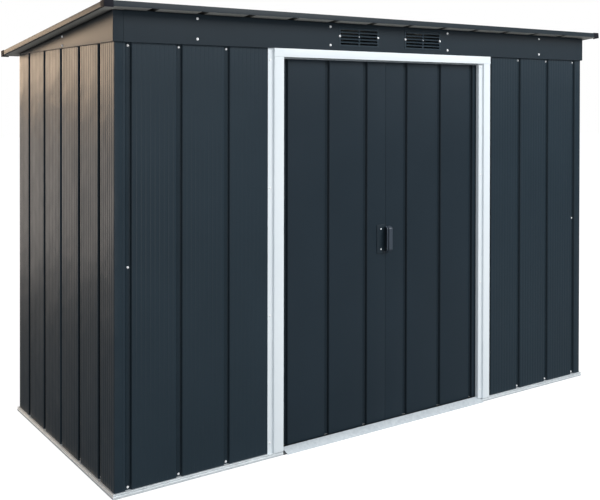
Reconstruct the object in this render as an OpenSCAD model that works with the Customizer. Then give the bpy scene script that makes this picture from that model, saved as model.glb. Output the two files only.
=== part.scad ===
// Pent-roof storage shed of folded sheet steel with two sliding doors.
// X runs along the front, Y from front to back, Z up; the ground is Z = 0.

/* [Shed] */
// Width over the wall sheets
shed_w = 2520; // [2300:20:2800]
// Depth over the wall sheets
shed_d = 1084; // [960:4:1300]
// Height of the wall sheets
wall_h = 1590; // [1450:10:1800]
// Slope of the roof in degrees
roof_angle = 5.85; // [4.5:0.05:8]
// Overhang of the roof beyond the walls
overhang = 62; // [50:1:90]

/* [Sheet metal] */
// Thickness of wall, gable and roof sheet
sheet_t = 0.8; // [0.5:0.1:1]
// Thickness of rails, trims and frames
rail_t = 1.2; // [0.8:0.1:1.6]
// Gap between pieces that seat on each other without touching
seat_gap = 0.2; // [0.1:0.05:0.3]
// Length of a lap between two sheets
lap = 12; // [8:1:16]

/* [Wall ribs] */
// Distance between ribs on walls, doors and roof
rib_pitch = 200; // [160:5:240]
// Width of a wall rib at the face of the sheet
rib_w = 26; // [20:1:32]
// Width of the floor of a wall rib
rib_floor = 16; // [10:1:18]
// Depth of a wall rib
rib_depth = 9; // [6:0.5:11]
// Outermost ribs of the front from the corners
front_rib = 54; // [48:1:90]
// Return of the side sheets round each corner
corner_lap = 30; // [18:1:31]

/* [Base] */
// Height of the base rails under the wall sheets
base_h = 18; // [14:1:30]
// Distance that the base rails stand proud of the walls
base_proud = 8; // [5:1:12]
// Width of the ground flange inside the walls
base_flange = 30; // [20:1:36]
// Height of the upright that the sheets are screwed to
base_upright = 16; // [10:1:25]
// Height of the lip behind the doors that their guides run along
guide_h = 18; // [14:1:24]
// Reach of the threshold ramp in front of the base rail
ramp_reach = 8; // [6:1:40]

/* [Top rails] */
// Height of the top rails
top_rail_h = 40; // [30:1:50]
// Inward leg of the side and back top rails
top_rail_leg = 30; // [20:1:40]
// Height of the mid rails above the ground
mid_rail_z = 812; // [700:10:900]
// Height of a mid rail
mid_rail_h = 40; // [30:1:50]
// Depth of a mid rail
mid_rail_d = 22; // [15:1:24]
// Height of the roof beam
beam_h = 42; // [30:1:45]
// Width of the flanges of the roof beam
beam_flange = 30; // [20:1:40]

/* [Fascia and gables] */
// Distance that fascia and gables stand proud of the walls
fascia_proud = 8; // [5:1:12]
// Flange of the fascia and gables under the roof
fascia_flange = 20; // [15:1:26]
// Visible width of the gable's return on the front
gable_return = 39; // [30:1:60]
// Height of the roof's underside over the back wall sheet
roof_seat = 1; // [0.6:0.1:3]
// End of the gable before the back corner
gable_stop = 30; // [28:1:60]
// Distance between the inner two fascia brackets
bracket_inner = 653; // [630:1:700]
// Distance between the outer two fascia brackets
bracket_outer = 1878; // [1500:2:2000]
// Width of a fascia bracket
bracket_w = 30; // [20:1:36]

/* [Vents] */
// Distance between the centres of the two vents
vent_spacing = 356; // [300:2:380]
// Width of a vent plate
vent_w = 211; // [180:1:220]
// Height of a vent plate
vent_h = 84; // [60:1:90]
// Height of the vent's centre above the wall sheets
vent_rise = 60; // [50:1:62]
// Rim of the vent plate around its slots
vent_rim = 8; // [6:1:12]
// Width of the bar between the two columns of slots
vent_mullion = 8; // [6:1:16]
// Number of slots one above the other
vent_slots = 5; // [3:1:6]
// Thickness of the vent plate and its blades
vent_t = 1; // [0.8:0.1:1.5]

/* [Roof] */
// Height of a roof rib
roof_rib_h = 17; // [14:1:26]
// Width of a roof rib at its foot
roof_rib_w = 34; // [28:1:44]
// Width of the top of a roof rib
roof_rib_top = 18; // [12:1:22]
// Shift of the roof ribs to the left
roof_rib_shift = 25; // [0:1:30]
// Width of the trim's flange on top of the roof
trim_flange = 28; // [20:1:40]
// Distance that the trim hangs below the roof sheet
trim_lip = 1; // [0.5:0.5:6]
// Length of the sides of a corner cap
cap_l = 33; // [28:1:50]
// Thickness of a corner cap
cap_t = 1.5; // [1:0.1:2]

/* [Door frame] */
// Clear width between the jambs
door_open_w = 1087; // [1000:1:1140]
// Distance of the doorway's middle from the middle of the front, to the left
door_shift = 10.5; // [0:0.5:20]
// Width of the face of a jamb
jamb_face = 46; // [40:1:60]
// Distance that the jamb face stands proud of the wall
jamb_proud = 10; // [9:0.5:16]
// Width of the jamb's flange at the left of its face
jamb_flange = 24; // [15:1:30]
// Depth of the jamb's return into the doorway
jamb_return = 16; // [11:0.5:16]
// Height of the header
header_h = 34; // [28:1:45]

/* [Doors] */
// Distance of the door face behind the wall face
door_setback = 19; // [17:1:24]
// Lap of a leaf behind the jamb
leaf_lap = 27; // [20:1:40]
// Gap between the closed leaves
meeting_gap = 1; // [0.6:0.1:3]
// Gap under the leaves
door_gap = 7; // [6:0.5:12]
// Gap between the leaves and the front top rail
door_top_gap = 9; // [7:0.5:12]
// First door rib from the middle of the doorway
door_rib = 112; // [100:1:125]
// Fold along the upright edges of a leaf
leaf_fold = 15; // [10:1:16]
// Height of the rails of a leaf
leaf_rail_h = 40; // [34:1:50]
// Depth of the rails of a leaf
leaf_rail_d = 6.5; // [5:0.5:8]
// Length of the door slides and guides
slide_l = 40; // [30:1:60]
// Height of a door slide
slide_h = 14; // [10:1:16]
// Running gap between a slide and its track
run_gap = 0.3; // [0.2:0.05:0.5]
// Height of the door track over its ledge
track_h = 36; // [34:1:37]
// Room between the leaf rail and the track's ledge
track_room = 7; // [5.5:0.5:10]
// Width of the track's ledge
track_ledge = 20; // [16:1:24]

/* [Handle] */
// Height of the handle's flange
handle_h = 124; // [112:1:140]
// Width of the handle's flange
handle_w = 48; // [40:1:56]
// Thickness of the handle's flange
handle_flange_t = 3; // [2:0.5:4]
// Width of the grip
grip_w = 30; // [26:1:34]
// Height of the grip
grip_h = 110; // [80:1:112]
// Distance that the grip stands out of its flange
grip_d = 24; // [18:1:26]
// Distance that the grip reaches over the other leaf
grip_over = 21; // [14:1:22]
// Gap between the grip and the other leaf
grip_gap = 1; // [0.5:0.1:1.5]
// Wall of the grip
grip_wall = 4; // [3:0.5:5]
// Height of the handle's centre above the wall bottom
handle_z = 790; // [700:2:900]

/* [Hidden] */
$fn = 48;

anthracite = [0.19, 0.235, 0.265];
white = [0.93, 0.95, 0.96];
galvanised = [0.78, 0.82, 0.84];
black_plastic = [0.1, 0.11, 0.12];

// Levels and planes shared by several pieces; "in" is measured inwards from a wall's outer face
top_z = base_h + wall_h;
wall_in = rib_depth + sheet_t;
rail_in = wall_in + rail_t;
roof_w = shed_w + 2 * overhang;
roof_l = (shed_d + 2 * overhang) / cos(roof_angle);
trim_top = roof_rib_h + 2 * sheet_t + rail_t;
roof_mid = (trim_top + cap_t - trim_lip) / 2;
roof_y = -roof_mid * sin(roof_angle);
bracket_d = fascia_flange - sheet_t;

// Height of the roof's underside at a distance behind the front wall face
function under_roof(in_front) = top_z + roof_seat + (shed_d - in_front) * tan(roof_angle);
// The same, less the seat gap
function seat_z(in_front) = under_roof(in_front) - seat_gap;

// Door frame and leaves, measured from the middle of the doorway
jamb_in_x = door_open_w / 2;
jamb_w = jamb_flange + jamb_face;
left_panel_x = -door_shift - jamb_in_x - jamb_face / 2;
right_panel_x = -door_shift + jamb_in_x + jamb_flange + jamb_face / 3;
leaf_x0 = meeting_gap / 2;
leaf_x1 = jamb_in_x + leaf_lap;
leaf_z0 = base_h + door_gap;
leaf_z1 = top_z - rail_t - door_top_gap;
leaf_back = door_setback + wall_in;
leaf_rail_back = leaf_back + leaf_rail_d;
ledge_in = leaf_rail_back + track_room;
track_in = ledge_in + track_ledge;
ledge_z = top_z - rail_t - track_h;
guide_room = 5.5;
guide_in = leaf_rail_back + guide_room + rail_t;

// Left normal of the segment from p to q
function left_normal(p, q) = let (d = (q - p) / norm(q - p)) [-d.y, d.x];
// Point i of a path, moved by t to the left of the path with mitred corners
function moved(path, i, t) =
  let (last = len(path) - 1)
  let (a = left_normal(path[max(i - 1, 0)], path[max(i, 1)]))
  let (b = left_normal(path[min(i, last - 1)], path[min(i + 1, last)]))
  path[i] + t * (a + b) / (1 + a * b);
// Section of a sheet of thickness t folded along a path, to the left of it
function folded(path, t) = concat(path, [for (i = [len(path) - 1 : -1 : 0]) moved(path, i, t)]);

// A section in (Y, Z) extruded along X over a length, centred
module along_x(length, section) {
  rotate([90, 0, 90])
    linear_extrude(length, center = true)
      polygon(section);
}

// Sides of a rectangle of a given width and depth, as [turn, distance from the middle, length]
function side_place(side, w, d) =
  side == "front" ? [0, d / 2, w]
  : side == "right" ? [90, w / 2, d]
  : side == "back" ? [180, d / 2, w]
  : [270, w / 2, d];

// Children drawn along +X with outwards -Y, moved to a side of the rectangle
module on_side(side, w = shed_w, d = shed_d) {
  place = side_place(side, w, d);
  rotate(place[0])
    translate([0, -place[1], 0])
      children();
}

// A section carried along one side of a rectangle, mitred at both corners
module mitred(side, section, w = shed_w, d = shed_d) {
  length = side_place(side, w, d)[2];
  reach = 100;
  half = length / 2;
  on_side(side, w, d)
    intersection() {
      along_x(length + 2 * reach, section);
      linear_extrude(4 * top_z, center = true)
        polygon([
          [-half - reach, -reach], [half + reach, -reach],
          [half - reach, reach], [-half + reach, reach]
        ]);
    }
}

// Base rails and threshold

function base_section(inner) = folded(concat(inner, [
  [-base_proud, 0], [-base_proud, base_h], [wall_in, base_h], [wall_in, base_h + base_upright]
]), -rail_t);

module base_rail(side) {
  color(galvanised)
    mitred(side, base_section([[base_flange, 0]]));
}

module base_rail_front() {
  color(galvanised)
    difference() {
      mitred("front", base_section([[guide_in, guide_h], [guide_in, 0]]));
      on_side("front")
        translate([left_panel_x, 0, base_h])
          cube([right_panel_x - left_panel_x, base_flange, 2 * base_upright]);
    }
}

// Children drawn from the middle of the doorway along the front
module doorway() {
  translate([-door_shift, 0, 0])
    on_side("front")
      children();
}

module door_threshold() {
  color(galvanised)
    doorway()
      along_x(door_open_w - 2 * seat_gap, folded([
        [rib_depth, base_h + rail_t],
        [-base_proud - rail_t, base_h + rail_t],
        [-base_proud - ramp_reach, rail_t]
      ], rail_t));
}

// Wall sheets, each a path in plan with ribs pressed inwards

function rib_start(c) = [[c - rib_w / 2, 0], [c - rib_floor / 2, rib_depth]];
function rib_end(c, depth = rib_depth) = [[c + rib_floor / 2, depth], [c + rib_w / 2, 0]];
function ribs(centres) = [for (c = centres, p = concat(rib_start(c), rib_end(c))) p];
// Edge of a sheet in the rib at c: the sheet before it ends there, the next one lies over it
function lap_under(c) = concat(rib_start(c), [[c + rib_floor / 2, rib_depth]]);
function lap_over(c) =
  let (depth = rib_depth - sheet_t)
  concat([[c - rib_floor / 2, depth]], rib_end(c, depth));
// Edge of a flat sheet tucked behind the return of a side sheet, at the left and the right corner
function tuck_left(x) = [
  [x + corner_lap - lap, sheet_t], [x + corner_lap, sheet_t], [x + corner_lap + sheet_t, 0]
];
function tuck_right(x) = [
  [x - corner_lap - sheet_t, 0], [x - corner_lap, sheet_t], [x - corner_lap + lap, sheet_t]
];

module wall_sheet(side, path) {
  color(anthracite)
    on_side(side)
      translate([0, 0, base_h])
        linear_extrude(wall_h)
          polygon(folded(path, sheet_t));
}

rib_margin = rib_w / 2 + 2;

module front_left_panel() {
  x = -shed_w / 2;
  centres = [for (c = [x + front_rib : rib_pitch : left_panel_x - rib_margin]) c];
  wall_sheet("front", concat(tuck_left(x), ribs(centres), [[left_panel_x, 0]]));
}

module front_right_panel() {
  x = shed_w / 2;
  count = floor((x - front_rib - right_panel_x - rib_margin) / rib_pitch);
  centres = [for (i = [count : -1 : 0]) x - front_rib - i * rib_pitch];
  wall_sheet("front", concat([[right_panel_x, 0]], ribs(centres), tuck_right(x)));
}

// A side wall has two sheets that lap in its middle rib and wrap round both corners
side_ribs = floor((shed_d / 2 - corner_lap - rib_margin) / rib_pitch);

module side_panel_first(side) {
  x = -shed_d / 2;
  centres = [for (i = [-side_ribs : 1 : -1]) i * rib_pitch];
  wall_sheet(side, concat([[x, corner_lap], [x, 0]], ribs(centres), lap_under(0)));
}

module side_panel_last(side) {
  x = shed_d / 2;
  centres = [for (i = [1 : 1 : side_ribs]) i * rib_pitch];
  wall_sheet(side, concat(lap_over(0), ribs(centres), [[x, 0], [x, corner_lap]]));
}

// The back wall has four sheets that lap in ribs
back_ribs = floor((shed_w / 2 - corner_lap - sheet_t - rib_margin) / rib_pitch);
back_split = round(back_ribs / 2);

function back_centres(from, to) = [for (i = [from : 1 : to]) i * rib_pitch];

module back_panel(i) {
  x = shed_w / 2;
  split = back_split * rib_pitch;
  path =
    i == 1 ? concat(tuck_left(-x), ribs(back_centres(-back_ribs, -back_split - 1)), lap_under(-split))
    : i == 2 ? concat(lap_over(-split), ribs(back_centres(-back_split + 1, -1)), lap_under(0))
    : i == 3 ? concat(lap_over(0), ribs(back_centres(1, back_split - 1)), lap_under(split))
    : concat(lap_over(split), ribs(back_centres(back_split + 1, back_ribs)), tuck_right(x));
  wall_sheet("back", path);
}

// Rails inside the walls

function top_section(leg) = folded([
  [wall_in + leg, top_z], [wall_in, top_z], [wall_in, top_z - top_rail_h]
], rail_t);

module top_rail(side) {
  color(galvanised)
    mitred(side, top_section(top_rail_leg));
}

module top_rail_front() {
  color(galvanised)
    mitred("front", top_section(track_in + rail_t - wall_in));
}

// The leg of the back rail slopes with the roof that lies on it
module top_rail_back() {
  leg_in = wall_in + top_rail_leg;
  color(galvanised)
    mitred("back", folded([
      [leg_in, seat_z(shed_d - leg_in)], [wall_in, seat_z(shed_d - wall_in)],
      [wall_in, top_z - top_rail_h]
    ], rail_t));
}

mid_rail_in = wall_in + mid_rail_d;

module mid_rail(side, length) {
  color(galvanised)
    on_side(side)
      along_x(length, folded([
        [mid_rail_in, mid_rail_z + mid_rail_h / 2], [wall_in, mid_rail_z + mid_rail_h / 2],
        [wall_in, mid_rail_z - mid_rail_h / 2], [mid_rail_in, mid_rail_z - mid_rail_h / 2]
      ], rail_t));
}

module mid_rails() {
  end = 2 * mid_rail_in;
  mid_rail("left", shed_d - 2 * end);
  mid_rail("right", shed_d - 2 * end);
  mid_rail("back", shed_w - 2 * corner_lap - 2 * lap);
}

// Channel under the front top rail that the door slides run in
module door_track() {
  length = shed_w - 2 * (wall_in + top_rail_leg) - 2 * lap;
  color(galvanised)
    on_side("front")
      along_x(length, folded([
        [ledge_in, top_z - rail_t], [track_in, top_z - rail_t], [track_in, ledge_z], [ledge_in, ledge_z]
      ], -rail_t));
}

// Fascia, gables and vents

fascia_x = shed_w / 2 + fascia_proud - gable_return;
vent_z = top_z + vent_rise;
vent_cut_w = vent_w - 2 * vent_rim;
vent_cut_h = vent_h - 2 * vent_rim;

module front_fascia() {
  color(anthracite)
    on_side("front")
      difference() {
        along_x(2 * fascia_x, folded([
          [rail_in, top_z], [-fascia_proud, top_z],
          [-fascia_proud, seat_z(-fascia_proud)], [fascia_flange, seat_z(fascia_flange)]
        ], -sheet_t));
        for (side = [-1, 1])
          translate([side * vent_spacing / 2, -fascia_proud, vent_z])
            cube([vent_cut_w, 4 * sheet_t, vent_cut_h], center = true);
      }
}

// Upright channels behind the fascia, where its screws go in
module fascia_brackets() {
  in0 = -fascia_proud + sheet_t;
  in1 = in0 + bracket_d;
  z0 = top_z + sheet_t;
  z1 = seat_z(in1) - 2 * sheet_t;
  half = bracket_w / 2;
  color(galvanised)
    for (x = [-bracket_outer / 2, -bracket_inner / 2, bracket_inner / 2, bracket_outer / 2])
      on_side("front")
        translate([x, 0, z0])
          linear_extrude(z1 - z0)
            polygon(folded([[-half, in1], [-half, in0], [half, in0], [half, in1]], rail_t));
}

gable_x = shed_w / 2 + fascia_proud;
gable_y0 = -shed_d / 2 - fascia_proud + sheet_t;
gable_y1 = shed_d / 2 - gable_stop;

// Height under the roof at a place along Y
function gable_z(y) = seat_z(y + shed_d / 2);

// A slice of the right gable between two places along Y: its face and its two flanges
module gable(y0, y1) {
  module plate(x0, x1, outline) {
    translate([x0, 0, 0])
      rotate([90, 0, 90])
        linear_extrude(x1 - x0)
          polygon(outline);
  }
  inner_x = shed_w / 2 - rail_in;
  plate(gable_x - sheet_t, gable_x,
    [[y0, top_z], [y1, top_z], [y1, gable_z(y1)], [y0, gable_z(y0)]]);
  plate(inner_x, gable_x, [[y0, top_z], [y1, top_z], [y1, top_z + sheet_t], [y0, top_z + sheet_t]]);
  plate(shed_w / 2 - fascia_flange, gable_x, [
    [y0, gable_z(y0) - sheet_t], [y1, gable_z(y1) - sheet_t], [y1, gable_z(y1)], [y0, gable_z(y0)]
  ]);
}

// The front half turns the corner, and the fascia laps over its return
module gable_front() {
  z0 = top_z + sheet_t;
  z1 = gable_z(gable_y0) - 3 * sheet_t;
  length = gable_return + lap;
  color(anthracite) {
    gable(gable_y0, 0);
    translate([gable_x - length, gable_y0, z0])
      cube([length, sheet_t, z1 - z0]);
  }
}

// The back half has a tongue behind the seam
module gable_back() {
  tongue_z0 = top_z + 2 * sheet_t;
  tongue_z1 = gable_z(lap) - 2 * sheet_t;
  color(anthracite) {
    gable(0, gable_y1);
    translate([gable_x - 2 * sheet_t, -lap, tongue_z0])
      cube([sheet_t, 2 * lap, tongue_z1 - tongue_z0]);
  }
}

// Louvred plate over a cut-out of the fascia: two columns of sloping blades
module vent(side) {
  pitch = vent_cut_h / vent_slots;
  column = (vent_cut_w - vent_mullion) / 2;
  blade = 0.9 * pitch;
  color(anthracite)
    on_side("front")
      translate([side * vent_spacing / 2, -fascia_proud - vent_t / 2, vent_z])
        difference() {
          union() {
            cube([vent_w, vent_t, vent_h], center = true);
            for (i = [0 : vent_slots - 1])
              translate([0, 0, (i - (vent_slots - 1) / 2) * pitch + pitch / 4])
                rotate([35, 0, 0])
                  cube([vent_cut_w - 2 * seat_gap, vent_t, blade], center = true);
          }
          for (column_side = [-1, 1], i = [0 : vent_slots - 1])
            translate([column_side * (column + vent_mullion) / 2, 0, (i - (vent_slots - 1) / 2) * pitch])
              vent_slot(column, pitch);
        }
}

// Space under one blade, open to the front and the back
module vent_slot(width, pitch) {
  depth = 3 * pitch;
  slit = 0.45 * pitch;
  translate([0, 0, -pitch / 4])
    rotate([35, 0, 0])
      cube([width, depth, slit], center = true);
}

// Roof

// Children drawn in the roof's plane: X, the slope, and up from the underside
module on_roof() {
  translate([0, roof_y, under_roof(shed_d / 2 + roof_y)])
    rotate([-roof_angle, 0, 0])
      children();
}

roof_ribs = floor((roof_w / 2 - trim_flange - roof_rib_shift - roof_rib_w) / rib_pitch + 0.5);
roof_split = round(roof_ribs / 2);

function roof_rib_x(i) = (i + 0.5) * rib_pitch - roof_rib_shift;
function roof_rib_start(c) = [[c - roof_rib_w / 2, 0], [c - roof_rib_top / 2, roof_rib_h]];
function roof_rib_end(c, h = roof_rib_h) = [[c + roof_rib_top / 2, h], [c + roof_rib_w / 2, 0]];
function roof_ribs_between(from, to) = [
  for (i = [from : 1 : to])
    let (c = roof_rib_x(i))
    for (p = concat(roof_rib_start(c), roof_rib_end(c))) p
];
// Edge of a roof sheet on a rib, and the next sheet's edge that lies over it
function roof_under(i) = concat(roof_rib_start(roof_rib_x(i)),
  [[roof_rib_x(i) + roof_rib_top / 2, roof_rib_h]]);
function roof_over(i) =
  let (c = roof_rib_x(i), h = roof_rib_h + sheet_t)
  concat([[c - roof_rib_top / 2, h]], roof_rib_end(c, h));

module roof_sheet(i) {
  x = roof_w / 2 - rail_t - seat_gap;
  length = roof_l - 2 * (rail_t + seat_gap);
  path =
    i == 1 ? concat([[-x, 0]], roof_ribs_between(-roof_ribs, -roof_split - 1), roof_under(-roof_split))
    : i == 2 ? concat(roof_over(-roof_split), roof_ribs_between(-roof_split + 1, -1), roof_under(0))
    : i == 3 ? concat(roof_over(0), roof_ribs_between(1, roof_split - 1), roof_under(roof_split))
    : concat(roof_over(roof_split), roof_ribs_between(roof_split + 1, roof_ribs - 1), [[x, 0]]);
  color(anthracite)
    on_roof()
      rotate([90, 0, 0])
        linear_extrude(length, center = true)
          polygon(folded(path, sheet_t));
}

module roof_trim(side) {
  color(anthracite)
    on_roof()
      mitred(side, folded([[trim_flange, trim_top], [0, trim_top], [0, -trim_lip]], rail_t), roof_w, roof_l);
}

// Moulded caps over the four corners of the trims
module roof_corner_caps() {
  height = trim_top + trim_lip + cap_t;
  color(black_plastic)
    on_roof()
      for (mx = [0, 1], my = [0, 1])
        mirror([mx, 0, 0])
          mirror([0, my, 0])
            translate([roof_w / 2 - cap_l, roof_l / 2 - cap_l, -trim_lip])
              difference() {
                cube([cap_l + cap_t, cap_l + cap_t, height]);
                translate([-cap_t, -cap_t, -cap_t])
                  cube([cap_l + cap_t, cap_l + cap_t, height]);
              }
}

// Beam under the middle of the roof, from gable to gable
module roof_beam() {
  in0 = shed_d / 2;
  in1 = in0 + beam_flange;
  z0 = seat_z(in0) - beam_h;
  half = gable_x - 2 * sheet_t - seat_gap;
  flange_end = shed_w / 2 - fascia_flange - seat_gap;
  color(galvanised)
    difference() {
      on_side("front")
        along_x(2 * half, folded([
          [in1, seat_z(in1)], [in0, seat_z(in0)], [in0, z0], [in1, z0]
        ], rail_t));
      for (side = [0, 1])
        mirror([side, 0, 0])
          translate([flange_end, -beam_flange, seat_z(in0) - beam_flange * tan(roof_angle) - 2 * rail_t])
            cube([2 * fascia_flange, 3 * beam_flange, beam_h]);
    }
}

// Door frame

// Both jambs are the same way round: a flange at the left of the face, and a return into the doorway
// that is notched round the top rail
module door_jamb(side) {
  path =
    side < 0 ? [
      [-jamb_in_x, jamb_return], [-jamb_in_x, -jamb_proud], [-jamb_in_x - jamb_face, -jamb_proud],
      [-jamb_in_x - jamb_face, -rail_t], [-jamb_in_x - jamb_w, -rail_t]
    ]
    : [
      [jamb_in_x + jamb_flange + lap, 0], [jamb_in_x + jamb_w, 0], [jamb_in_x + jamb_w, -jamb_proud],
      [jamb_in_x + jamb_flange, -jamb_proud], [jamb_in_x + jamb_flange, -rail_t],
      [jamb_in_x, -rail_t], [jamb_in_x, jamb_return]
    ];
  color(white)
    doorway()
      difference() {
        translate([0, 0, base_h])
          linear_extrude(wall_h)
            polygon(folded(path, -rail_t));
        translate([-2 * jamb_in_x, wall_in - seat_gap, top_z - top_rail_h - seat_gap])
          cube([4 * jamb_in_x, jamb_return, 2 * top_rail_h]);
      }
}

// The header lies on the faces of the jambs, with its flanges between them
module door_header() {
  face_in = -jamb_proud - rail_t;
  shelf = [jamb_flange, jamb_proud - seat_gap, rail_t];
  color(white)
    doorway() {
      along_x(2 * (jamb_in_x - seat_gap), folded([
        [-fascia_proud - rail_t, top_z], [face_in, top_z],
        [face_in, top_z - header_h], [wall_in - seat_gap, top_z - header_h]
      ], rail_t));
      translate([-jamb_in_x - jamb_face, face_in, top_z - header_h])
        cube([2 * jamb_in_x + jamb_face + jamb_w, rail_t, header_h]);
      translate([jamb_in_x - 2 * seat_gap, face_in, top_z - header_h])
        cube(shelf);
    }
}

// Doors: the right leaf, and the left leaf as its mirror image

module leaf_side(side) {
  translate([-door_shift, 0, 0])
    mirror([side < 0 ? 1 : 0, 0, 0])
      on_side("front")
        children();
}

module door_panel(side) {
  centres = [for (c = [door_rib : rib_pitch : leaf_x1 - rib_margin]) c];
  face = [for (p = concat([[leaf_x0, 0]], ribs(centres), [[leaf_x1, 0]])) p + [0, door_setback]];
  fold_in = door_setback + leaf_fold;
  color(anthracite)
    leaf_side(side)
      translate([0, 0, leaf_z0])
        linear_extrude(leaf_z1 - leaf_z0)
          polygon(folded(concat([[leaf_x0, fold_in]], face, [[leaf_x1, fold_in]]), sheet_t));
}

// Channels behind the top and bottom of a leaf
module door_rails(side) {
  x0 = leaf_x0 + sheet_t + seat_gap;
  x1 = leaf_x1 - sheet_t - seat_gap;
  color(anthracite)
    leaf_side(side)
      for (z = [leaf_z0, leaf_z1 - leaf_rail_h])
        translate([(x0 + x1) / 2, 0, z])
          along_x(x1 - x0, folded([
            [leaf_rail_back, leaf_rail_h], [leaf_back, leaf_rail_h], [leaf_back, 0], [leaf_rail_back, 0]
          ], rail_t));
}

// Two moulded slides in the upper track and two guides over the base rail
module door_slides(side) {
  inset = 80;
  web_in = leaf_back + rail_t;
  slide_z = ledge_z + rail_t + run_gap;
  slide_d = track_in - rail_t - guide_room - web_in;
  guide_z = rail_t + guide_room;
  color(black_plastic)
    leaf_side(side)
      for (x = [leaf_x0 + inset, leaf_x1 - inset]) {
        translate([x - slide_l / 2, web_in, slide_z])
          cube([slide_l, slide_d, slide_h]);
        translate([x - slide_l / 2, leaf_back, guide_z])
          cube([slide_l, leaf_rail_d, leaf_z0 - guide_z]);
      }
}

// A rectangle with round corners
module round_rect(w, h, r) {
  square([w - 2 * r, h], center = true);
  square([w, h - 2 * r], center = true);
  for (x = [-1, 1], y = [-1, 1])
    translate([x * (w / 2 - r), y * (h / 2 - r)])
      circle(r);
}

// Moulded pull at the meeting edge of the left leaf: a flange and a grip that reaches over the right
// leaf and is open towards the left
module door_handle() {
  flange_r = 6;
  grip_r = grip_w / 2 - 1;
  edge_x = -leaf_x0 - seat_gap;
  grip_x = leaf_x0 + grip_over - grip_w / 2;
  color(black_plastic)
    doorway()
      translate([0, door_setback, base_h + handle_z])
        rotate([90, 0, 0])
          difference() {
            union() {
              translate([edge_x - handle_w / 2, 0, 0])
                linear_extrude(handle_flange_t)
                  round_rect(handle_w, handle_h, flange_r);
              translate([grip_x, 0, 0])
                linear_extrude(handle_flange_t + grip_d)
                  round_rect(grip_w, grip_h, grip_r);
            }
            translate([grip_x - grip_w, -grip_h / 2 + grip_r, handle_flange_t])
              cube([1.5 * grip_w - grip_wall, grip_h - 2 * grip_r, grip_d - grip_wall]);
            translate([edge_x, -handle_h / 2, -grip_gap])
              cube([2 * grip_over, handle_h, 2 * grip_gap]);
          }
}

// The whole shed, one node at a time

base_rail_front();
base_rail("back");  // base_rail_back
base_rail("left");  // base_rail_left
base_rail("right");  // base_rail_right
door_threshold();
front_left_panel();
front_right_panel();
side_panel_first("left");  // left_panel_back
side_panel_last("left");  // left_panel_front
side_panel_first("right");  // right_panel_front
side_panel_last("right");  // right_panel_back
back_panel(1);  // back_panel_1
back_panel(2);  // back_panel_2
back_panel(3);  // back_panel_3
back_panel(4);  // back_panel_4
top_rail_front();
top_rail_back();
top_rail("left");  // top_rail_left
top_rail("right");  // top_rail_right
mid_rails();
door_track();
front_fascia();
fascia_brackets();
mirror([1, 0, 0]) gable_front();  // left_gable_front
mirror([1, 0, 0]) gable_back();  // left_gable_back
gable_front();  // right_gable_front
gable_back();  // right_gable_back
vent(-1);  // vent_left
vent(1);  // vent_right
roof_beam();
roof_sheet(1);  // roof_sheet_1
roof_sheet(2);  // roof_sheet_2
roof_sheet(3);  // roof_sheet_3
roof_sheet(4);  // roof_sheet_4
roof_trim("front");  // roof_trim_front
roof_trim("back");  // roof_trim_back
roof_trim("left");  // roof_trim_left
roof_trim("right");  // roof_trim_right
roof_corner_caps();
door_jamb(-1);  // door_jamb_left
door_jamb(1);  // door_jamb_right
door_header();
door_panel(-1);  // door_left_panel
door_rails(-1);  // door_left_rails
door_slides(-1);  // door_left_slides
door_handle();
door_panel(1);  // door_right_panel
door_rails(1);  // door_right_rails
door_slides(1);  // door_right_slides
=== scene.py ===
import math

import bpy
import numpy as np
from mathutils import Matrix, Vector


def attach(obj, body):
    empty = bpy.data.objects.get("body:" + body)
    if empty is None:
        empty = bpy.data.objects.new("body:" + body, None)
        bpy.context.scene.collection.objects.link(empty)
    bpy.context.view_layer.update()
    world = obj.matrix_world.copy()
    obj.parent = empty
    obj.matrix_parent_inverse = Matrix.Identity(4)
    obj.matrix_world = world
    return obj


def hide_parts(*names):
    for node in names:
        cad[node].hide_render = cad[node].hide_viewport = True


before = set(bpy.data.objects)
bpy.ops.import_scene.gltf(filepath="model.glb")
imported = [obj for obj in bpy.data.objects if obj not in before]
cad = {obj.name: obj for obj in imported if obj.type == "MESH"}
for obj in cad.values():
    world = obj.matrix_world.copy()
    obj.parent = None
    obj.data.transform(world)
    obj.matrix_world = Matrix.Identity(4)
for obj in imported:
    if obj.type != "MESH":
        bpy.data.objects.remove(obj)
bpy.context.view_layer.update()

# Stage: a pale studio floor under a white surround, lit by large soft lamps.
# The floor and the surround show as white, and the floor keeps the shed's soft shadow. Sizes here are in
# metres; those of the shed's pieces are in millimetres.

FLOOR_HALF = 30.0
FLOOR_DROP = 0.001
FLOOR_GLOW = 0.92
FLOOR_SHEEN = 0.1
SURROUND_LIGHT = 0.3


def linear(code):
    """An sRGB hex colour as linear RGBA: v / 12.92 up to 0.04045, else ((v + 0.055) / 1.055) ^ 2.4."""
    v = np.array([int(code[i:i + 2], 16) for i in (1, 3, 5)]) / 255
    return (*np.where(v <= 0.04045, v / 12.92, ((v + 0.055) / 1.055) ** 2.4).tolist(), 1.0)


def node(tree, kind, settings=None, links=None):
    """Adds a node, sets its properties and inputs, and links its inputs to (node, output) pairs."""
    made = tree.nodes.new(kind)
    for key, value in (settings or {}).items():
        if isinstance(key, int) or key in made.inputs:
            made.inputs[key].default_value = value
        else:
            setattr(made, key, value)
    for key, (source, output) in (links or {}).items():
        tree.links.new(source.outputs[output], made.inputs[key])
    return made


def seen_rays(tree, *kinds):
    """1 for rays of these kinds, else 0."""
    path = node(tree, "ShaderNodeLightPath")
    found = (path, kinds[0])
    for kind in kinds[1:]:
        found = (node(tree, "ShaderNodeMath", {"operation": "MAXIMUM"}, {0: found, 1: (path, kind)}), 0)
    return found


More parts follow.
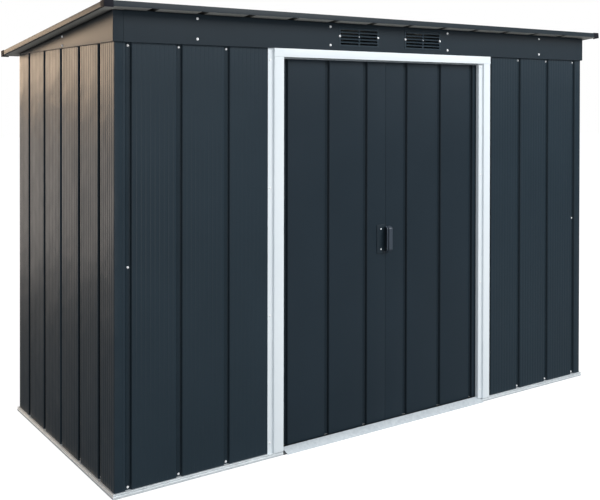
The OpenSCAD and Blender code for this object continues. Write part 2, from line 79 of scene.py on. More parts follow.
world = bpy.data.worlds.new("white_surround")
bpy.context.scene.world = world
world.use_nodes = True
tree = world.node_tree
tree.nodes.clear()
soft = node(tree, "ShaderNodeBackground", {"Color": linear("#F2F6FF"), "Strength": SURROUND_LIGHT})
white = node(tree, "ShaderNodeBackground", {"Color": linear("#FFFFFF"), "Strength": 1.0})
seen = seen_rays(tree, "Is Camera Ray", "Is Transmission Ray")
both = node(tree, "ShaderNodeMixShader", None, {0: seen, 1: (soft, 0), 2: (white, 0)})
node(tree, "ShaderNodeOutputWorld", None, {"Surface": (both, 0)})

# Matt grey board that glows for the camera, so that it shows white but still takes the shadow.
floor_mesh = bpy.data.meshes.new("floor")
floor_corners = np.array([[-1, -1, 0], [1, -1, 0], [1, 1, 0], [-1, 1, 0]]) * FLOOR_HALF
floor_mesh.from_pydata(floor_corners.tolist(), [], [(0, 1, 2, 3)])
floor = bpy.data.objects.new("floor", floor_mesh)
bpy.context.scene.collection.objects.link(floor)
floor.location.z = -FLOOR_DROP
pale = bpy.data.materials.new("pale_floor")
pale.use_nodes = True
tree = pale.node_tree
tree.nodes.clear()
matt = node(tree, "ShaderNodeBsdfDiffuse", {"Color": linear("#A4A6A7")})
seen = seen_rays(tree, "Is Camera Ray", "Is Transmission Ray")
mirrored = seen_rays(tree, "Is Glossy Ray")
sheen = node(tree, "ShaderNodeMath", {"operation": "MULTIPLY", 1: FLOOR_SHEEN}, {0: mirrored})
level = node(tree, "ShaderNodeMath", {"operation": "MULTIPLY_ADD", 1: FLOOR_GLOW}, {0: seen, 2: (sheen, 0)})
glow = node(tree, "ShaderNodeEmission", {"Color": linear("#FFFFFF")}, {"Strength": (level, 0)})
lift = node(tree, "ShaderNodeAddShader", None, {0: (matt, 0), 1: (glow, 0)})
node(tree, "ShaderNodeOutputMaterial", None, {"Surface": (lift, 0)})
floor_mesh.materials.append(pale)


def lamp(name, place, target, size, watts, code):
    """A rectangular soft lamp at a place, turned to a target, not seen by the camera itself."""
    data = bpy.data.lights.new(name, "AREA")
    data.shape = "RECTANGLE"
    data.size, data.size_y = size
    data.energy = watts
    data.color = linear(code)[:3]
    made = bpy.data.objects.new(name, data)
    bpy.context.scene.collection.objects.link(made)
    made.location = place
    made.rotation_euler = (Vector(target) - Vector(place)).to_track_quat("-Z", "Y").to_euler()
    made.visible_camera = False


# The key and the glow light the front, the fills even out the white frame and the left wall's foot, and
# the warm pair behind the left is what the left wall mirrors.
lamp("key", (1.9, -4.6, 4.5), (0, -0.5, 0.7), (3.2, 2.4), 262, "#FFFFFF")
lamp("right_glow", (5.4, -4.2, 3.0), (1.0, -0.5, 1.5), (2.0, 1.2), 26, "#FFFFFF")
lamp("front_fill", (-2.3, -6.2, 0.7), (-0.2, -0.5, 0.8), (2.2, 1.2), 62, "#FFFFFF")
lamp("left_fill", (-5.0, -1.5, 1.3), (-1.26, -0.3, 0.8), (2.4, 2.0), 20, "#F2F7FF")
lamp("warm_left", (-2.75, 4.0, 1.95), (-1.3, 0.0, 1.5), (2.6, 1.0), 50, "#FFE0BE")
lamp("warm_low", (-2.75, 4.0, 0.65), (-1.3, 0.0, 1.0), (2.6, 1.3), 17, "#FFF0E2")

# The camera was fitted to the photo's edges: the shed's corners, ribs, door frame and roof.
camera = bpy.data.objects.new("camera", bpy.data.cameras.new("camera"))
bpy.context.scene.collection.objects.link(camera)
camera.location = (-2.492, -3.487, 1.4025)
camera.rotation_euler = (math.radians(89.568), math.radians(-0.095), math.radians(-34.451))
camera.data.sensor_width = 36
camera.data.lens = 53.553
camera.data.shift_y = -0.2379
bpy.context.scene.camera = camera
bpy.context.scene.view_settings.view_transform = "Standard"

# Base rails of the sides and the back: 1.2 mm galvanised strip folded round the foot of the walls, with
# a line pressed along the front and an upright behind the sheets, mitred at the corners.
# Hot-dip zinc: a bright, slightly bluish grey with crystals of about 9 mm that differ in gloss.

SHED_W = 2520.0
SHED_D = 1084.0
HALF_W = SHED_W / 2
HALF_D = SHED_D / 2
STRIP = 1.2
WALL_Z = 18.0
WALL_IN = 9.8
RAIL_OUT = 8.0
RAIL_IN = 30.0
RAIL_BEND = 1.6
UPRIGHT = 16.0
LINE_Z = 12.0
LINE_W = 5.0
LINE_FLOOR = 2.0
LINE_DEPTH = 4.0
CRYSTAL_MM = 9
UP = (0, 0, 1)
# Along, inward, middle of the wall's foot, and half of its length, for each side of the shed.
SIDES = {
    "front": ((1, 0, 0), (0, 1, 0), (0, -HALF_D, 0), HALF_W),
    "right": ((0, 1, 0), (-1, 0, 0), (HALF_W, 0, 0), HALF_D),
    "back": ((-1, 0, 0), (0, -1, 0), (0, HALF_D, 0), HALF_W),
    "left": ((0, -1, 0), (1, 0, 0), (-HALF_W, 0, 0), HALF_D),
}
# Sockets of Blender's colour Mix node.
MIX_A = 6
MIX_B = 7
MIXED = 2


def galvanised(name, dark, light, crystal_mm, metallic, haze_mm=250.0, grain_mm=1.1):
    """Zinc with flat crystals: a Voronoi cell's own shade, with a slow haze, gives its colour, and
    another shade of the cell its roughness. The grain is finer than a pixel and only softens the gloss."""
    made = bpy.data.materials.new(name)
    made.use_nodes = True
    tree = made.node_tree
    tree.nodes.clear()
    where = (node(tree, "ShaderNodeTexCoord"), "Object")
    cells = node(tree, "ShaderNodeTexVoronoi", {"Scale": 1000 / crystal_mm}, {"Vector": where})
    shade = node(tree, "ShaderNodeSeparateColor", None, {0: (cells, "Color")})
    haze = node(tree, "ShaderNodeTexNoise", {"Scale": 1000 / haze_mm, "Detail": 4.0}, {"Vector": where})
    blend = node(tree, "ShaderNodeMath", {"operation": "MULTIPLY_ADD", 1: 0.5, 2: 0.1}, {0: (shade, 0)})
    mixed = node(tree, "ShaderNodeMath", {"operation": "MULTIPLY_ADD", 1: 0.6},
                 {0: (haze, 0), 2: (blend, 0)})
    colour = node(tree, "ShaderNodeMix", {"data_type": "RGBA", MIX_A: linear(dark), MIX_B: linear(light)},
                  {0: (mixed, 0)})
    rough = node(tree, "ShaderNodeMapRange", {"To Min": 0.38, "To Max": 0.58}, {"Value": (shade, 1)})
    grain = node(tree, "ShaderNodeTexNoise", {"Scale": 1000 / grain_mm, "Detail": 2.0}, {"Vector": where})
    bump = node(tree, "ShaderNodeBump", {"Strength": 0.15, "Distance": 0.0003}, {"Height": (grain, 0)})
    metal = node(tree, "ShaderNodeBsdfPrincipled", {"Metallic": metallic},
                 {"Base Color": (colour, MIXED), "Roughness": (rough, 0), "Normal": (bump, 0)})
    node(tree, "ShaderNodeOutputMaterial", None, {"Surface": (metal, 0)})
    return made


def rounded(path, bend, steps=4):
    """A path whose corners are arcs of radius bend: from leg to leg, the rational quadratic curve
    whose middle point is the corner, with the cosine of half the turn as its weight."""
    p = np.asarray(path, float)
    corner = p[1:-1]
    back, ahead = p[:-2] - corner, p[2:] - corner
    back_l, ahead_l = np.linalg.norm(back, axis=1), np.linalg.norm(ahead, axis=1)
    u, v = back / back_l[:, None], ahead / ahead_l[:, None]
    half = np.arccos(np.clip(-(u * v).sum(1), -1, 1)) / 2
    cut = np.minimum(bend * np.tan(half), 0.45 * np.minimum(back_l, ahead_l))[:, None, None]
    s = np.linspace(0, 1, steps)[None, :, None]
    from_back = (1 - s) ** 2
    from_corner = 2 * np.cos(half)[:, None, None] * s * (1 - s)
    from_ahead = s ** 2
    middle = corner[:, None]
    arc = from_back * (middle + u[:, None] * cut) + from_corner * middle
    arc = (arc + from_ahead * (middle + v[:, None] * cut)) / (from_back + from_corner + from_ahead)
    return np.vstack([p[:1], arc.reshape(-1, 2), p[-1:]])


def moved(path, t):
    """A path moved by t to its left: each point goes along the sum of its legs' normals, to their mitre."""
    d = np.diff(path, axis=0)
    d /= np.linalg.norm(d, axis=1)[:, None]
    n = np.column_stack([-d[:, 1], d[:, 0]])
    a, b = np.vstack([n[:1], n]), np.vstack([n, n[-1:]])
    return path + t * (a + b) / (1 + (a * b).sum(1))[:, None]


def swept(path, t, bend, axes, origin, ends, mitre=(0, 0), far=None):
    """A strip of thickness t folded along a path (p, q) and drawn out along a third axis e, to the path
    far at its other end. Its point is origin + p a + q b + e c, in mm; each end e moves by its mitre
    times p. Returns points in metres, faces, and which faces are on the side that t goes to."""
    sections = []
    for way in (path, path if far is None else far):
        line = rounded(way, bend)
        sections.append(np.vstack([line, moved(line, t)[::-1]]))
    n = len(sections[0]) // 2
    a, b, c = np.asarray(axes, float)
    rings = []
    for section, end, cut in zip(sections, ends, mitre):
        rings.append(section[:, :1] * a + section[:, 1:] * b + (end + cut * section[:, :1]) * c)
    i = np.arange(2 * n)
    j = np.roll(i, -1)
    k = np.arange(n - 1)
    cap = np.column_stack([k, k + 1, 2 * n - 2 - k, 2 * n - 1 - k])
    sheet = np.column_stack([i, i + 2 * n, j + 2 * n, j])
    faces = np.vstack([sheet, cap, cap[:, ::-1] + 2 * n])
    turn = np.dot(np.cross(a, b), c) * (ends[1] - ends[0]) * t
    inner = np.zeros(len(faces), bool)
    inner[n:2 * n - 1] = True
    return (np.asarray(origin) + np.vstack(rings)) / 1000, faces if turn > 0 else faces[:, ::-1], inner


def piece(name, shape, material, body, replaced=(), inside=None, sharp=40):
    """A finished mesh of (points, faces, inner): smooth up to an angle, on a body, for its CAD nodes.
    Its inner faces take a second material, if there is one."""
    points, faces, inner = shape
    mesh = bpy.data.meshes.new(name)
    mesh.from_pydata(points.tolist(), [], faces.tolist())
    mesh.polygons.foreach_set("use_smooth", np.ones(len(mesh.polygons), bool))
    mesh.materials.append(material)
    if inside:
        mesh.materials.append(inside)
        mesh.polygons.foreach_set("material_index", inner.astype(np.int32))
    mesh.set_sharp_from_angle(angle=math.radians(sharp))
    made = bpy.data.objects.new(name, mesh)
    bpy.context.scene.collection.objects.link(made)
    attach(made, body)
    if replaced:
        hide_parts(*replaced)
    return made


zinc = galvanised("galvanised_steel_base", "#CDD5D9", "#ECF1F3", CRYSTAL_MM, metallic=0.4)
foot = [
    [-RAIL_OUT, 0],
    [-RAIL_OUT, LINE_Z - LINE_W / 2],
    [LINE_DEPTH - RAIL_OUT, LINE_Z - LINE_FLOOR / 2],
    [LINE_DEPTH - RAIL_OUT, LINE_Z + LINE_FLOOR / 2],
    [-RAIL_OUT, LINE_Z + LINE_W / 2],
    [-RAIL_OUT, WALL_Z],
    [WALL_IN, WALL_Z],
]
upright_top = [WALL_IN, WALL_Z + UPRIGHT]
for side in ("back", "left", "right"):
    along, inward, origin, half = SIDES[side]
    rail = swept([[RAIL_IN, 0]] + foot + [upright_top], -STRIP, RAIL_BEND, (inward, UP, along), origin,
                 (-half, half), (1, -1))
    piece("base_" + side, rail, zinc, "shed", ["base_rail_" + side])

# Front base rail: the same strip, with the lip behind it that the door guides run along. Its uprights
# stop beside the doorway, and in the doorway its front is cut down under the ramp.
# There the zinc is painted dark as shade, and shows as a dark line at the doors' foot.

DOOR_X = -10.5
OPEN_W = 1087.0
CLEAR = 0.2
TRACK_IN = 42.0
TRACK_LIP = 18.0
SILL_H = 4.0
SILL_IN = 9.0
RAMP_RIGHT = 22.0
POST_GAP = 2.0
# Where the front sheets end beside the doorway.
FRONT_ENDS = (-577.0, 572.4)


def joined(*parts):
    """Several (points, faces, inner) as one."""
    starts = np.cumsum([0] + [len(p[0]) for p in parts[:-1]])
    return (np.vstack([p[0] for p in parts]), np.vstack([p[1] + s for p, s in zip(parts, starts)]),
            np.concatenate([p[2] for p in parts]))


along, inward, origin, half = SIDES["front"]
front_axes = (inward, UP, along)
way_in = (DOOR_X - OPEN_W / 2, DOOR_X + OPEN_W / 2 + RAMP_RIGHT)
track = [[TRACK_IN, TRACK_LIP], [TRACK_IN, 0]]
left_rail = swept(track + foot, -STRIP, RAIL_BEND, front_axes, origin, (-half, way_in[0]), (1, 0))
right_rail = swept(track + foot, -STRIP, RAIL_BEND, front_axes, origin, (way_in[1], half), (0, -1))
upright = [[WALL_IN, WALL_Z - STRIP], upright_top]
post_end = half - WALL_IN - POST_GAP
left_post = swept(upright, -STRIP, 0, front_axes, origin, (-post_end, FRONT_ENDS[0]))
right_post = swept(upright, -STRIP, 0, front_axes, origin, (FRONT_ENDS[1], post_end))
piece("base_front", joined(left_rail, right_rail, left_post, right_post), zinc, "shed",
      ["base_rail_front"])
sill = [[-RAIL_OUT, 0], [-RAIL_OUT, SILL_H], [SILL_IN, WALL_Z]]
low_rail = swept(track + sill, -STRIP, RAIL_BEND, front_axes, origin, way_in)
# Painted shade: the sill's zinc is dark to stand for the shade in the doorway.
sill_shade_zinc = galvanised("painted_shade_steel_sill", "#2E3437", "#3C4346", CRYSTAL_MM, metallic=0.2)
piece("base_doorway", low_rail, sill_shade_zinc, "shed", ["base_rail_front"])

# Threshold ramp: the same galvanised strip, folded once to a slope from the ground to the doors' foot,
# and laid over the front rail. Its zinc is a little greyer than the rails', as painted shade.

RAMP_IN = 13.0
RAMP_RIDGE = 11.0
RAMP_OUT = 16.0
RAMP_H = 7.0
RAMP_BACK_H = 5.0
RAMP_LEFT = 9.0
RAMP_SKEW = -0.5
RAMP_BEND = 1.0

ramp = [[RAMP_IN, WALL_Z + RAMP_BACK_H], [RAMP_RIDGE, WALL_Z + RAMP_H], [-RAMP_OUT, STRIP]]
ramp_ends = (way_in[0] + RAMP_LEFT, way_in[1] - CLEAR)
# Painted shade: the ramp's zinc is a greyer copy of the rails'.
ramp_zinc_shaded = galvanised("galvanised_steel_ramp", "#BAC4CA", "#D5DDE1", CRYSTAL_MM, metallic=0.4)
shape = swept(ramp, STRIP, RAMP_BEND, front_axes, origin, ramp_ends, (RAMP_SKEW, 0))
piece("threshold_ramp", shape, ramp_zinc_shaded, "shed", ["door_threshold"])

# Wall sheets: 0.8 mm steel, rolled with deep ribs each 200 mm and fine pencil ribs between them, tucked
# under or over each other at the edges and screwed to the rails.
# Coil-coated anthracite polyester, with a thin pale grey backing coat inside.

TOP_Z = 1608.0
SHEET = 0.8
WALL_BEND = 2.2
RIB_PITCH = 200.0
RIB_W = 26.0
RIB_FLOOR = 16.0
RIB_DEPTH = 9.0
CORNER_LAP = 30.0
CORNER_FLAT = 6.0
LAP = 12.0
# The front's first rib from the middle of the shed.
FRONT_RIB = 606.0


def painted(name, dark, light, rough=0.42, specular=0.3, peel_mm=1.6, peel=0.12, hollow=1.0, reach_mm=30.0,
            alone=True, closed=0.48, fade=0.27, slack_mm=0.0, cloud_mm=312.5):
    """Satin paint: a slow noise gives its colour and roughness, and a fine one its orange peel, which is
    finer than a pixel and only softens the gloss. Painted shade: where occlusion finds a hollow within its
    reach, such as a rib, colour and gloss fall to a share of what they are, the whole share where it is as
    closed as given, fading out from there; alone, a piece looks only for its own. Slack is how far a thin
    sheet swells between its ribs, which breaks up what it mirrors."""
    made = bpy.data.materials.new(name)
    made.use_nodes = True
    tree = made.node_tree
    tree.nodes.clear()
    where = (node(tree, "ShaderNodeTexCoord"), "Object")
    cloud = node(tree, "ShaderNodeTexNoise", {"Scale": 1000 / cloud_mm, "Detail": 5.0, "Roughness": 0.55},
                 {"Vector": where})
    colour = node(tree, "ShaderNodeMix", {"data_type": "RGBA", MIX_A: linear(dark), MIX_B: linear(light)},
                  {0: (cloud, 0)})
    gloss = node(tree, "ShaderNodeMapRange", {"To Min": rough - 0.05, "To Max": rough + 0.05},
                 {"Value": (cloud, 0)})
    orange = node(tree, "ShaderNodeTexNoise", {"Scale": 1000 / peel_mm, "Detail": 1.0}, {"Vector": where})
    swell = node(tree, "ShaderNodeTexNoise", {"Scale": 1000 / RIB_PITCH, "Detail": 2.0}, {"Vector": where})
    slack = node(tree, "ShaderNodeBump", {"Strength": 1.0, "Distance": slack_mm / 1000},
                 {"Height": (swell, 0)})
    bump = node(tree, "ShaderNodeBump", {"Strength": peel, "Distance": 0.0002},
                {"Height": (orange, 0), "Normal": (slack, 0)})
    # Painted shade: occlusion darkens colour and gloss in ribs and other hollows.
    open_air = node(tree, "ShaderNodeAmbientOcclusion",
                    {"Distance": reach_mm / 1000, "samples": 8, "only_local": alone})
    share = node(tree, "ShaderNodeMapRange",
                 {"From Min": closed, "From Max": closed + fade, "To Min": hollow},
                 {"Value": (open_air, "AO")})
    shaded = node(tree, "ShaderNodeVectorMath", {"operation": "SCALE"},
                  {0: (colour, MIXED), "Scale": (share, 0)})
    sheen = node(tree, "ShaderNodeMath", {"operation": "MULTIPLY", 1: specular}, {0: (share, 0)})
    coat = node(tree, "ShaderNodeBsdfPrincipled", None,
                {"Base Color": (shaded, 0), "Roughness": (gloss, 0), "Normal": (bump, 0),
                 "Specular IOR Level": (sheen, 0)})
    node(tree, "ShaderNodeOutputMaterial", None, {"Surface": (coat, 0)})
    return made


def pencils(x0, x1, pitch=18.0, wide=7.0, deep=0.85):
    """Fine grooves in a flat: as many as fit at the pitch, centred, each a shallow V of three points."""
    count = max(int((x1 - x0 - wide) // pitch), 0)
    c = (x0 + x1) / 2 + (np.arange(count) - (count - 1) / 2) * pitch
    across = c[:, None] + np.array([-wide / 2, 0, wide / 2])
    depth = np.broadcast_to([0, deep, 0], across.shape)
    return np.stack([across, depth], -1).reshape(-1, 2)


def rib(c, parts="ab", depth=RIB_DEPTH):
    """A pressed rib at c: its first slope (a), its second slope (b), or both."""
    first = [[c - RIB_W / 2, 0], [c - RIB_FLOOR / 2, depth]]
    last = [[c + RIB_FLOOR / 2, depth], [c + RIB_W / 2, 0]]
    return np.array((first if "a" in parts else []) + (last if "b" in parts else []))


def ribbed(start, centres, end, x0, x1):
    """A sheet's path: its start, then ribs with pencil ribs between them from x0 to x1, then its end."""
    edges = [x0] + [e for c in centres for e in (c - RIB_W / 2, c + RIB_W / 2)] + [x1]
    parts = [np.reshape(start, (-1, 2)), pencils(edges[0], edges[1])]
    for i, c in enumerate(centres):
        parts += [rib(c), pencils(edges[2 * i + 2], edges[2 * i + 3])]
    return np.vstack(parts + [np.reshape(end, (-1, 2))])


def wall(name, side, path, replaced):
    """A wall sheet stood on a side of the shed."""
    along, inward, origin, _ = SIDES[side]
    shape = swept(path, SHEET, WALL_BEND, (along, inward, UP), origin, (WALL_Z, TOP_Z))
    coat = side_paint if side in ("left", "right") else paint
    piece(name, shape, coat, "shed", [replaced], backing)


# Satin polyester: nearly even, with painted shade in the ribs.
paint = painted("anthracite_polyester_paint", "#1A2932", "#20303A", hollow=0.0, closed=0.54)
# The same on the side sheets, which are slacker and mirror their surroundings in soft patches, and
# with painted shade in their ribs.
side_paint = painted("anthracite_side_paint", "#1A2932", "#20303A", rough=0.36, hollow=0.1, closed=0.62,
                     slack_mm=8.0)
# Thin epoxy backing coat: pale, dull grey.
backing = painted("pale_backing_coat", "#8E9290", "#A3A6A3", rough=0.55, peel_mm=2.0, peel=0.1)

tuck_left = [[CORNER_LAP - LAP - HALF_W, SHEET], [CORNER_LAP - HALF_W, SHEET],
             [CORNER_LAP + SHEET - HALF_W, 0]]
tuck_right = [[HALF_W - CORNER_LAP - SHEET, 0], [HALF_W - CORNER_LAP, SHEET],
              [HALF_W - CORNER_LAP + LAP, SHEET]]
front_ribs = FRONT_RIB + RIB_PITCH * np.arange(4)
doorway_flat = FRONT_RIB - RIB_W / 2
wall("sheet_front_left", "front",
     ribbed(tuck_left, -front_ribs[::-1], [[FRONT_ENDS[0], 0]], CORNER_LAP - HALF_W, -doorway_flat),
     "front_left_panel")
wall("sheet_front_right", "front",
     ribbed([[FRONT_ENDS[1], 0]], front_ribs, tuck_right, doorway_flat, HALF_W - CORNER_LAP),
     "front_right_panel")

# Sheets meet in a rib: one ends on its floor, and the next starts in front of that floor.
under = np.vstack([rib(0, "a"), [[RIB_FLOOR / 2, RIB_DEPTH]]])
over = np.vstack([[[-RIB_FLOOR / 2, RIB_DEPTH - SHEET]], rib(0, "b", RIB_DEPTH - SHEET)])
near_ribs = RIB_PITCH * np.array([1, 2])
corner_start = [[-HALF_D, CORNER_LAP], [-HALF_D, 0]]
corner_end = [[HALF_D, 0], [HALF_D, CORNER_LAP]]
first = ribbed(corner_start, -near_ribs[::-1], under, CORNER_FLAT - HALF_D, -RIB_W / 2)
last = ribbed(over, near_ribs, corner_end, RIB_W / 2, HALF_D - CORNER_FLAT)
wall("sheet_left_back", "left", first, "left_panel_back")
wall("sheet_left_front", "left", last, "left_panel_front")
wall("sheet_right_front", "right", first, "right_panel_front")
wall("sheet_right_back", "right", last, "right_panel_back")

seam = 3 * RIB_PITCH
shift = np.array([seam, 0])
end_ribs = RIB_PITCH * np.array([4, 5, 6])
wall("sheet_back_1", "back",
     ribbed(tuck_left, -end_ribs[::-1], under - shift, CORNER_LAP - HALF_W, -seam - RIB_W / 2),
     "back_panel_1")
wall("sheet_back_2", "back",
     ribbed(over - shift, -near_ribs[::-1], under, RIB_W / 2 - seam, -RIB_W / 2), "back_panel_2")
wall("sheet_back_3", "back",
     ribbed(over, near_ribs, under + shift, RIB_W / 2, seam - RIB_W / 2), "back_panel_3")
wall("sheet_back_4", "back",
     ribbed(over + shift, end_ribs, tuck_right, seam + RIB_W / 2, HALF_W - CORNER_LAP), "back_panel_4")

# Wall screws: self-tapping screws with hexagon heads on pressed washers, driven through the floors of
# the ribs into the rails, along the top and the bottom and at the corners' mid height.
# Bright zinc plating: nearly white, with a soft gloss; the white is partly its own colour and partly a
# painted highlight that stands in for its glints.

FOOT_SCREW_Z = WALL_Z + 9
MID_SCREW_Z = 809.0
TOP_SCREW_Z = TOP_Z - 11
OUT_FRONT = (0, -1, 0)
# Painted highlight: near-white and hardly metallic, so that the heads read as bright as glints.
plated = galvanised("zinc_plated_screw", "#F4F6F7", "#FDFEFE", crystal_mm=3, metallic=0.05)


def screws(name, places, outward, size=1.0, body="shed", around=24):
    """Hexagon washer heads as lathe grids: rings of radius r and height h around each place, where the
    rings of the head have the radius r / cos(angle to the nearest flat) of a hexagon."""
    r = np.array([5.2, 5.2, 4.6, 3.5, 3.5, 3.0, 1.2]) * size
    h = np.array([0.0, 0.5, 0.9, 1.0, 3.0, 3.4, 3.5]) * size
    hexed = np.array([0, 0, 0, 1, 1, 0.6, 0])
    turn = np.arange(around) * 2 * np.pi / around
    flat = 1 / np.cos((turn % (np.pi / 3)) - np.pi / 6)
    radius = r[:, None] * (1 + hexed[:, None] * (flat - 1)[None, :])
    u, v, w = np.cross(UP, outward).astype(float), np.asarray(UP, float), np.asarray(outward, float)
    head = (radius * np.cos(turn))[..., None] * u + (radius * np.sin(turn))[..., None] * v
    head = (head + h[:, None, None] * w).reshape(-1, 3)
    points = (np.asarray(places, float)[:, None] + head[None]).reshape(-1, 3) / 1000
    k, n = len(r), len(turn)
    ring, spoke = np.meshgrid(np.arange(k - 1), np.arange(n), indexing="ij")
    a, b = ring * n + spoke, ring * n + (spoke + 1) % n
    quads = np.stack([a, b, b + n, a + n], -1).reshape(-1, 4)
    rim = (k - 1) * n
    i = np.arange(n // 2 - 1)
    lid = np.column_stack([rim + i, rim + i + 1, rim + n - 2 - i, rim + n - 1 - i])
    faces = np.vstack([quads, lid])
    starts = np.arange(len(places)) * k * n
    every = (faces[None] + starts[:, None, None]).reshape(-1, 4)
    piece(name, (points, every, np.zeros(len(every), bool)), plated, body, sharp=30)


screwed = np.concatenate([-front_ribs[:0:-1], front_ribs[1:]])
rib_y = HALF_D - RIB_DEPTH
spots = [(c, -rib_y, z) for c in screwed for z in (FOOT_SCREW_Z, TOP_SCREW_Z)]
spots += [(c, -rib_y, MID_SCREW_Z) for c in (screwed[0], screwed[-1])]
screws("screws_front", spots, OUT_FRONT, size=0.88)
side_x = HALF_W - RIB_DEPTH
side_ribs = RIB_PITCH * np.arange(-2, 3)
screws("screws_left", [(-side_x, c, FOOT_SCREW_Z) for c in side_ribs], (-1, 0, 0))
screws("screws_right", [(side_x, c, FOOT_SCREW_Z) for c in side_ribs], (1, 0, 0))
back_ribs = RIB_PITCH * np.arange(-6, 7)
spots = [(c, rib_y, z) for c in back_ribs for z in (FOOT_SCREW_Z, MID_SCREW_Z, TOP_SCREW_Z)]
screws("screws_back", spots, (0, 1, 0))

# Rails inside the walls: galvanised strip, folded into channels and angles and screwed to the sheets.
# The same zinc as the base, but duller, as it is seen only through the doorway.


def dress(material, *names):
    """Gives CAD nodes a material in all their slots."""
    for name in names:
        mesh = cad[name].data
        mesh.materials.clear()
        mesh.materials.append(material)


rail_zinc = galvanised("galvanised_steel_rail", "#9AA4AA", "#C6CED2", crystal_mm=11, metallic=0.75)
dress(rail_zinc, "top_rail_front", "top_rail_back", "top_rail_left", "top_rail_right", "mid_rails",
      "door_track", "fascia_brackets", "roof_beam")

# Fascia and vents: a painted sheet over the front wall, with two cut-outs behind plates of pressed
# louvres. The same satin polyester, a little darker; under the roof it is in shade, deepened by
# painted shade, and painted shade makes the louvres nearly black.

# Painted shade: it looks for hollows between pieces too, so that it darkens under the roof's overhang.
fascia_paint = painted("anthracite_fascia_paint", "#16232B", "#1B2932", specular=0.27, hollow=0.25,
                       reach_mm=22, alone=False)
dress(fascia_paint, "front_fascia")
# As the walls, but with painted shade that makes it almost black between the louvres.
vent_paint = painted("anthracite_vent_paint", "#1A2932", "#20303A", hollow=0.03, reach_mm=20, alone=False)
dress(vent_paint, "vent_left", "vent_right")

# Gables: two painted sheets over each side wall, folded in at the foot and under the roof's slope. They
# lap on a tongue in the middle, and the front ones turn the corner under the fascia.

SLOPE = math.radians(5.85)
FASCIA_OUT = 8.0
GABLE_X = HALF_W + FASCIA_OUT
GABLE_BEND = 1.2
CORNER_BEND = 1.5
GABLE_FLANGE = 20.0
GABLE_RETURN = 51.0
GABLE_STOP = 30.0
CORNER_LEG = 6.0
TONGUE = 12.0
HANDS = (("left", -1), ("right", 1))


def seat_z(y):
    """Height of the sheet edge under the roof at a place along the depth."""
    return TOP_Z + SHEET + (HALF_D - y) * math.tan(SLOPE)


def gable_path(y):
    """Bottom flange, face and sloping top flange of a gable: x outwards, and height."""
    inner = HALF_W - WALL_IN - STRIP
    return [[inner, TOP_Z], [GABLE_X, TOP_Z], [GABLE_X, seat_z(y)], [HALF_W - GABLE_FLANGE, seat_z(y)]]


y0 = SHEET - HALF_D - FASCIA_OUT
face_start = y0 + CORNER_LEG
y1 = HALF_D - GABLE_STOP
turned = [[GABLE_X - GABLE_RETURN, y0], [GABLE_X, y0], [GABLE_X, face_start]]
tongue_path = [[GABLE_X - SHEET, TOP_Z + 2 * SHEET], [GABLE_X - SHEET, seat_z(TONGUE) - 2 * SHEET]]
# The gables take the fascia's paint, with its painted shade under the roof.
for name, side in HANDS:
    outward = (side, 0, 0)
    axes = (outward, UP, (0, 1, 0))
    front = swept(gable_path(face_start), SHEET, GABLE_BEND, axes, (0, 0, 0), (face_start, 0),
                  far=gable_path(0))
    corner = swept(turned, SHEET, CORNER_BEND, (outward, (0, 1, 0), UP), (0, 0, 0),
                   (TOP_Z + SHEET, seat_z(y0) - 3 * SHEET))
    piece("gable_front_" + name, joined(front, corner), fascia_paint, "shed",
          [name + "_gable_front"], backing)
    rear = swept(gable_path(0), SHEET, GABLE_BEND, axes, (0, 0, 0), (0, y1), far=gable_path(y1))
    tongue = swept(tongue_path, SHEET, 0, axes, (0, 0, 0), (-TONGUE, TONGUE))
    piece("gable_back_" + name, joined(rear, tongue), fascia_paint, "shed",
          [name + "_gable_back"], backing)

# Screws of the fascia and the gables: the same zinc-plated screws, driven into the fascia's brackets, at
# the ends of the vent plates and in the gables' seams. A small rivet holds each vent's middle.

BRACKET_X = (-937.0, -326.5, 326.5, 937.0)
FASCIA_SCREW_Z = (TOP_Z + 21, TOP_Z + 96.5)
VENT_X = 178.0
VENT_Z = TOP_Z + 60
VENT_PROUD = 1.0
VENT_SCREW = 101.5
GABLE_SCREW_Y = -38.0
GABLE_SCREW_Z = (TOP_Z + 11, TOP_Z + 46)

face_y = -HALF_D - FASCIA_OUT
vent_y = face_y - VENT_PROUD
screws("screws_fascia", [(c, face_y, z) for c in BRACKET_X for z in FASCIA_SCREW_Z], OUT_FRONT)
spots = [(c + end, vent_y, VENT_Z) for c in (-VENT_X, VENT_X) for end in (-VENT_SCREW, VENT_SCREW)]
screws("screws_vents", spots, OUT_FRONT, size=0.9)
screws("rivets_vents", [(c, vent_y, VENT_Z) for c in (-VENT_X, VENT_X)], OUT_FRONT, size=0.4)
for name, side in HANDS:
    spots = [(side * GABLE_X, GABLE_SCREW_Y, z) for z in GABLE_SCREW_Z]
    screws("screws_gable_" + name, spots, (side, 0, 0))

# Roof sheets: four painted sheets with raised ribs, that lap on their ribs and lie on the walls' slope.
# Anthracite polyester on top; the underside has a pale coat, which shows in the overhang's notches.

OVERHANG = 62.0
ROOF_W = SHED_W + 2 * OVERHANG
ROOF_L = (SHED_D + 2 * OVERHANG) / math.cos(SLOPE)
ROOF_MID = 10.15
ROOF_GAP = 1.0
ROOF_Y = -ROOF_MID * math.sin(SLOPE)
ROOF_O = np.array([0, ROOF_Y, TOP_Z + ROOF_GAP + (HALF_D - ROOF_Y) * math.tan(SLOPE)])
ROOF_BEND = 2.5
ROOF_RIB_H = 17.0
ROOF_RIB_FOOT = 17.0
ROOF_RIB_TOP = 9.0
ROOF_RIB_SHIFT = 25.0
ACROSS = np.array([1, 0, 0])
DOWN = np.array([0, math.cos(SLOPE), -math.sin(SLOPE)])
RISE = np.array([0, math.sin(SLOPE), math.cos(SLOPE)])


